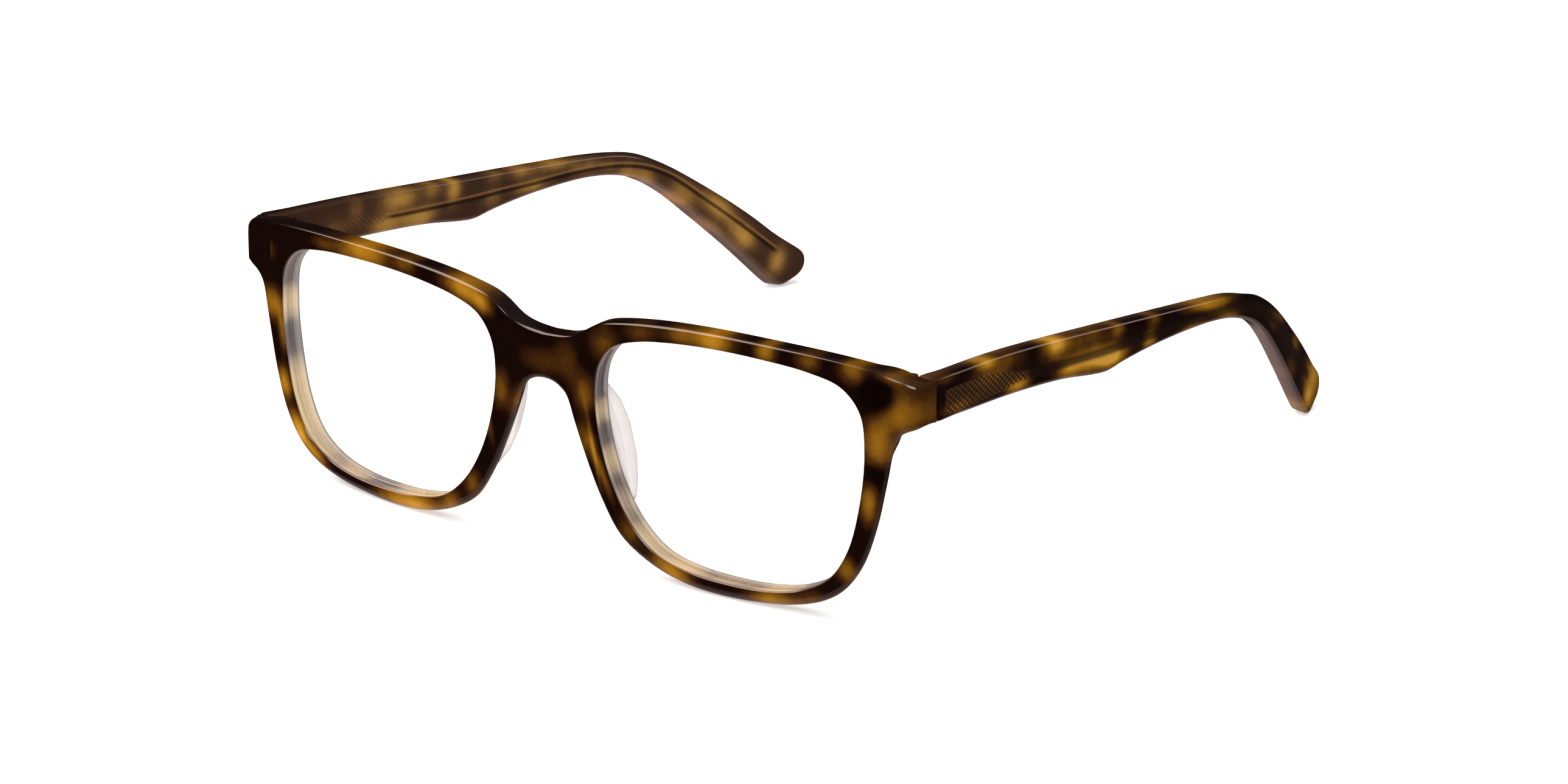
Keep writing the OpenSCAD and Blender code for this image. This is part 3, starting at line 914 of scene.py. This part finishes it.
def range_node(nodes, links, value, low, high, to_low=0.0, to_high=1.0):
    node = nodes.new("ShaderNodeMapRange")
    node.interpolation_type = "SMOOTHSTEP"
    links.new(value, node.inputs["Value"])
    node.inputs["From Min"].default_value = low
    node.inputs["From Max"].default_value = high
    node.inputs["To Min"].default_value = to_low
    node.inputs["To Max"].default_value = to_high
    return node.outputs["Result"]


def tortoise_material():
    """Polished tortoise acetate: amber spots in dark brown, milled rims under a painted pale sheen, a painted
    floor reflection under the lower rims, a lighter painted-light copy of the colours on the temples' inner
    faces, and the core that shows through with its painted shadow and glint.
    """
    material, nodes, links, shader = new_material("tortoise_acetate")

    def calc(operation, *inputs):
        return math_node(nodes, links, operation, *inputs)

    def blend(share, a, b):
        return mix_colour(nodes, links, share, a, b)

    def times(*factors):
        """Product of shader values."""
        product = factors[0]
        for factor in factors[1:]:
            product = calc("MULTIPLY", product, factor)
        return product

    def fade(value, low, high, to_low=0.0, to_high=1.0):
        return range_node(nodes, links, value, low, high, to_low, to_high)

    place = nodes.new("ShaderNodeTexCoord").outputs["Object"]
    amber = attribute_node(nodes, "amber").outputs["Fac"]
    clouds = noise_node(nodes, links, place, 260, 3.0, 0.6)
    clouded = calc("MULTIPLY_ADD", clouds, 0.32, -0.16)
    strength = calc("MULTIPLY_ADD", amber, 0.92, 0.07)
    uneven = times(clouded, fade(amber, 0.0, 0.35, 0.35, 1.0))
    strength = calc("ADD", strength, uneven)
    polished = ramp_node(nodes, links, strength, [
        (0.00, (0.0020, 0.0004, 0.0002)), (0.12, (0.0060, 0.0012, 0.0004)), (0.30, (0.0440, 0.0150, 0.0010)),
        (0.55, (0.1600, 0.0680, 0.0015)), (0.80, (0.3400, 0.1600, 0.0060)), (1.00, (0.5600, 0.2950, 0.0360))])
    # Painted light: the temples' inner faces get their own lighter copy of the tortoise colours, for the
    # light they catch
    lit_inner_face = ramp_node(nodes, links, strength, [
        (0.00, (0.030, 0.0140, 0.0080)), (0.20, (0.055, 0.0260, 0.0130)), (0.45, (0.130, 0.0660, 0.0180)),
        (0.80, (0.340, 0.1800, 0.0350)), (1.00, (0.480, 0.2700, 0.0650))])
    # Painted sheen: the milled walls get the tortoise colours under a pale grey-cream sheen, for the light
    # that the rough surface scatters
    painted_milled_sheen = ramp_node(nodes, links, strength, [
        (0.00, (0.120, 0.103, 0.100)), (0.22, (0.170, 0.140, 0.130)), (0.50, (0.480, 0.380, 0.260)),
        (0.90, (0.720, 0.570, 0.330))])
    milled = attribute_node(nodes, "milled").outputs["Fac"]
    depth = attribute_node(nodes, "wall_depth").outputs["Fac"]
    stretched = nodes.new("ShaderNodeCombineXYZ")
    links.new(times(depth, 5.0), stretched.inputs["X"])
    streaks = noise_node(nodes, links, stretched.outputs["Vector"], 1.0, 3.0, 0.6)
    painted_milled_sheen = blend(times(fade(streaks, 0.35, 0.7), 0.22), painted_milled_sheen, milling_streak_sheen_colour)
    # painted reflection of the floor on the undersides of the lower rims
    glow = times(attribute_node(nodes, "painted_under_reflection").outputs["Fac"], 0.28)
    polished = blend(glow, polished, painted_under_reflection_colour)

    # the steel core inside a temple: s runs along it, c across it, in mm
    route = nodes.new("ShaderNodeSeparateXYZ")
    links.new(attribute_node(nodes, "route").outputs["Vector"], route.inputs["Vector"])
    s, c, inner = route.outputs["X"], route.outputs["Y"], route.outputs["Z"]
    colour = blend(inner, polished, lit_inner_face)
    colour = blend(milled, colour, painted_milled_sheen)
    off_line = calc("ABSOLUTE", c)
    on_route = times(fade(s, -0.5, 0.5), fade(s, core_shown_to, core_shown_to + 2.5, 1.0, 0.0))
    past_paddle = fade(s, paddle_length - 2, paddle_length + 2)
    outer_face = calc("SUBTRACT", 1.0, inner)
    # Painted shadow: on the outer face the core shows as a soft dark band, its shadow in the acetate
    core_soft_shadow = times(fade(off_line, 0.35, 1.25, 0.85, 0.0), past_paddle, outer_face)
    fine_line = times(fade(off_line, 0.15, 0.5, 0.8, 0.0), past_paddle, inner)
    paddle_half = fade(s, paddle_start, paddle_length, 2.1, 0.7)
    in_paddle = calc("SUBTRACT", paddle_half, off_line)
    in_paddle = times(fade(in_paddle, -0.1, 0.15), fade(s, paddle_length - 0.5, paddle_length, 1.0, 0.0))
    lines = []
    for sign in (1.0, -1.0):
        diagonal = calc("MULTIPLY_ADD", c, sign * knurl_slope, s)
        diagonal = calc("ADD", diagonal, 100.0)
        wave = calc("PINGPONG", diagonal, knurl_pitch)
        lines.append(fade(wave, 0.10, 0.26, 1.0, 0.0))
    facets = times(in_paddle, on_route, calc("MULTIPLY_ADD", inner, -0.12, 0.16))
    colour = blend(facets, colour, facet_colour)
    knurl = calc("MAXIMUM", lines[0], lines[1])
    knurl = times(knurl, in_paddle, 0.95, calc("MULTIPLY_ADD", inner, -0.6, 1.0))
    core_and_shadow = calc("MAXIMUM", core_soft_shadow, fine_line)
    core_and_shadow = times(calc("MAXIMUM", core_and_shadow, knurl), on_route)
    # Painted glint: a lighter line beside the core's dark line on the inner face
    beside_line = calc("ABSOLUTE", calc("ADD", c, 0.6))
    core_glint = times(fade(beside_line, 0.1, 0.35, 0.45, 0.0), inner, past_paddle, on_route)
    colour = blend(core_glint, colour, core_glint_colour)
    colour = blend(core_and_shadow, colour, core_and_shadow_colour)
    links.new(colour, shader.inputs["Base Color"])

    links.new(fade(milled, 0.0, 1.0, 0.13, 0.55), shader.inputs["Roughness"])
    shader.inputs["IOR"].default_value = 1.48
    shader.inputs["Specular IOR Level"].default_value = 0.42
    shader.inputs["Coat Weight"].default_value = 0.25
    shader.inputs["Coat Roughness"].default_value = 0.05
    polish = noise_node(nodes, links, place, 90, 2.0, 0.5)
    bump = nodes.new("ShaderNodeBump")
    bump.inputs["Strength"].default_value = 0.10
    bump.inputs["Distance"].default_value = 0.0004
    links.new(polish, bump.inputs["Height"])
    links.new(bump.outputs["Normal"], shader.inputs["Normal"])
    return material


def lens_material():
    """Clear plano lens with a faint soft haze, so that light passes almost unchanged."""
    material, nodes, links, shader = new_material("clear_demo_lens")
    place = nodes.new("ShaderNodeTexCoord").outputs["Object"]
    haze = noise_node(nodes, links, place, 60, 2.0, 0.5)
    links.new(range_node(nodes, links, haze, 0.3, 0.7, 0.0, 0.03), shader.inputs["Roughness"])
    tint = ramp_node(nodes, links, haze, [(0.0, (0.985, 0.99, 0.99)), (1.0, (1.0, 1.0, 1.0))])
    links.new(tint, shader.inputs["Base Color"])
    shader.inputs["Transmission Weight"].default_value = 1.0
    shader.inputs["IOR"].default_value = 1.45
    shader.inputs["Alpha"].default_value = 0.09
    return material


def pad_material():
    """Crystal acetate: clear with a milky bloom."""
    material, nodes, links, shader = new_material("crystal_acetate")
    place = nodes.new("ShaderNodeTexCoord").outputs["Object"]
    bloom = noise_node(nodes, links, place, 500, 3.0, 0.55)
    tint = ramp_node(nodes, links, bloom, [(0.2, (0.86, 0.84, 0.84)), (0.8, (0.97, 0.96, 0.96))])
    links.new(tint, shader.inputs["Base Color"])
    links.new(range_node(nodes, links, bloom, 0.2, 0.8, 0.10, 0.22), shader.inputs["Roughness"])
    shader.inputs["Transmission Weight"].default_value = 0.4
    shader.inputs["IOR"].default_value = 1.4
    return material


def steel_material(name, colour, roughness, scale=2500):
    """Brushed or turned steel."""
    material, nodes, links, shader = new_material(name)
    place = nodes.new("ShaderNodeTexCoord").outputs["Object"]
    mapping = nodes.new("ShaderNodeMapping")
    mapping.inputs["Scale"].default_value = (1, 1, 6)
    links.new(place, mapping.inputs["Vector"])
    brushed = noise_node(nodes, links, mapping.outputs["Vector"], scale, 3.0, 0.6)
    darker = tuple(0.72 * value for value in colour)
    links.new(ramp_node(nodes, links, brushed, [(0.3, darker), (0.7, colour)]), shader.inputs["Base Color"])
    rough = range_node(nodes, links, brushed, 0.2, 0.8, roughness, roughness + 0.15)
    links.new(rough, shader.inputs["Roughness"])
    shader.inputs["Metallic"].default_value = 1.0
    bump = nodes.new("ShaderNodeBump")
    bump.inputs["Strength"].default_value = 0.2
    bump.inputs["Distance"].default_value = 0.00003
    links.new(brushed, bump.inputs["Height"])
    links.new(bump.outputs["Normal"], shader.inputs["Normal"])
    return material


def paint(piece, material):
    piece.data.materials.clear()
    piece.data.materials.append(material)


def finish_piece(piece, node, body, material):
    paint(piece, material)
    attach(piece, body)
    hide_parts(node)


tortoise = tortoise_material()
lens_glass = lens_material()
crystal = pad_material()
hinge_steel = steel_material("hinge_steel", (0.62, 0.60, 0.56), 0.25)
screw_steel = steel_material("screw_steel", (0.70, 0.69, 0.67), 0.18, 4000)
core_steel = steel_material("core_steel", (0.55, 0.53, 0.50), 0.35, 1500)

finish_piece(make_front(), "front_frame", "front", tortoise)
for side, spots in ((LEFT, left_temple_spots), (RIGHT, right_temple_spots)):
    name = SIDE_NAMES[side]
    finish_piece(make_temple(side, spots), "temple_" + name, name + "_temple", tortoise)
    finish_piece(make_lens(side), "demo_lens_" + name, "front", lens_glass)
    finish_piece(make_pad(side), "nose_pad_" + name, "front", crystal)
    for node, material in (("front_hinge_", hinge_steel), ("temple_hinge_", hinge_steel),
                           ("hinge_screw_", screw_steel), ("core_wire_", core_steel)):
        part = frame["nodes"][node + name]
        paint(part, material)
        if node != "core_wire_":
            bevel = part.modifiers.new("broken_edges", "BEVEL")
            bevel.width = 0.06 * MM
            bevel.segments = 2
            bevel.limit_method = "ANGLE"
            bevel.angle_limit = math.radians(50)


# ---- floor, light and camera ----
camera_place = (551.06, -666.35, 313.53)
camera_forward = (-0.56681, 0.75285, -0.33459)
camera_up = (-0.20263, 0.26626, 0.94236)
camera_lens = 128.35
camera_sensor = 36


def make_floor():
    half = 6.0
    mesh = bpy.data.meshes.new("floor")
    corners = [(-half, -half, 0), (half, -half, 0), (half, half, 0), (-half, half, 0)]
    mesh.from_pydata(corners, [], [(0, 1, 2, 3)])
    floor = bpy.data.objects.new("floor", mesh)
    bpy.context.scene.collection.objects.link(floor)
    material, nodes, links, shader = new_material("pale_floor")
    shader.inputs["Base Color"].default_value = (0.95, 0.95, 0.95, 1)
    shader.inputs["Roughness"].default_value = 0.9
    shader.inputs["Emission Color"].default_value = (1, 1, 1, 1)
    shader.inputs["Emission Strength"].default_value = 0.55
    paint(floor, material)
    floor.location.z = -0.0001
    floor.visible_glossy = False


def area_light(name, direction, distance, size, power, colour=(1, 1, 1), reflected=True):
    light = bpy.data.lights.new(name, "AREA")
    light.shape = "RECTANGLE"
    light.size, light.size_y = size
    light.energy = power
    light.color = colour
    lamp = bpy.data.objects.new(name, light)
    lamp.visible_glossy = reflected
    direction = Vector(direction).normalized()
    lamp.location = Vector((0, 0, 0.02)) + direction * distance
    lamp.rotation_euler = direction.to_track_quat("Z", "Y").to_euler()
    bpy.context.scene.collection.objects.link(lamp)


def make_world():
    world = bpy.data.worlds.new("studio")
    world.use_nodes = True
    bpy.context.scene.world = world
    nodes, links = world.node_tree.nodes, world.node_tree.links
    split = nodes.new("ShaderNodeSeparateXYZ")
    links.new(nodes.new("ShaderNodeTexCoord").outputs["Generated"], split.inputs["Vector"])
    height = math_node(nodes, links, "MULTIPLY_ADD", split.outputs["Z"], 0.5, 0.5)
    glow = ramp_node(nodes, links, height, [
        (0.00, (0.66, 0.46, 0.41)), (0.19, (0.50, 0.36, 0.33)), (0.27, (0.035, 0.022, 0.02)),
        (0.70, (0.012, 0.012, 0.012)), (1.00, (0.20, 0.19, 0.19))])
    links.new(glow, nodes["Background"].inputs["Color"])
    nodes["Background"].inputs["Strength"].default_value = 1.0


def make_camera():
    data = bpy.data.cameras.new("camera")
    data.sensor_width = camera_sensor
    data.lens = camera_lens
    data.clip_start, data.clip_end = 0.01, 50
    camera = bpy.data.objects.new("camera", data)
    forward = Vector(turn_to_row @ camera_forward).normalized()
    up = Vector(turn_to_row @ camera_up)
    side_axis = forward.cross(up).normalized()
    up = side_axis.cross(forward)
    turn = Matrix((side_axis, up, -forward)).transposed().to_4x4()
    camera.matrix_world = Matrix.Translation(stand(camera_place)) @ turn
    bpy.context.scene.collection.objects.link(camera)
    bpy.context.scene.camera = camera


make_floor()
make_world()
area_light("edge_softbox", (-0.55, -0.32, 0.76), 1.2, (0.75, 0.65), 11.0, (1.0, 0.78, 0.66))
area_light("overhead_softbox", (0.1, -0.1, 1.0), 1.7, (1.6, 1.6), 22.0, reflected=False)
area_light("back_strip", (0.22, 0.85, 0.46), 1.3, (0.6, 0.2), 0.7, (1.0, 0.76, 0.66))
area_light("front_fill", (0.35, -1.0, 0.9), 1.8, (0.9, 0.6), 12.0)
make_camera()
bpy.context.scene.view_settings.view_transform = "Standard"
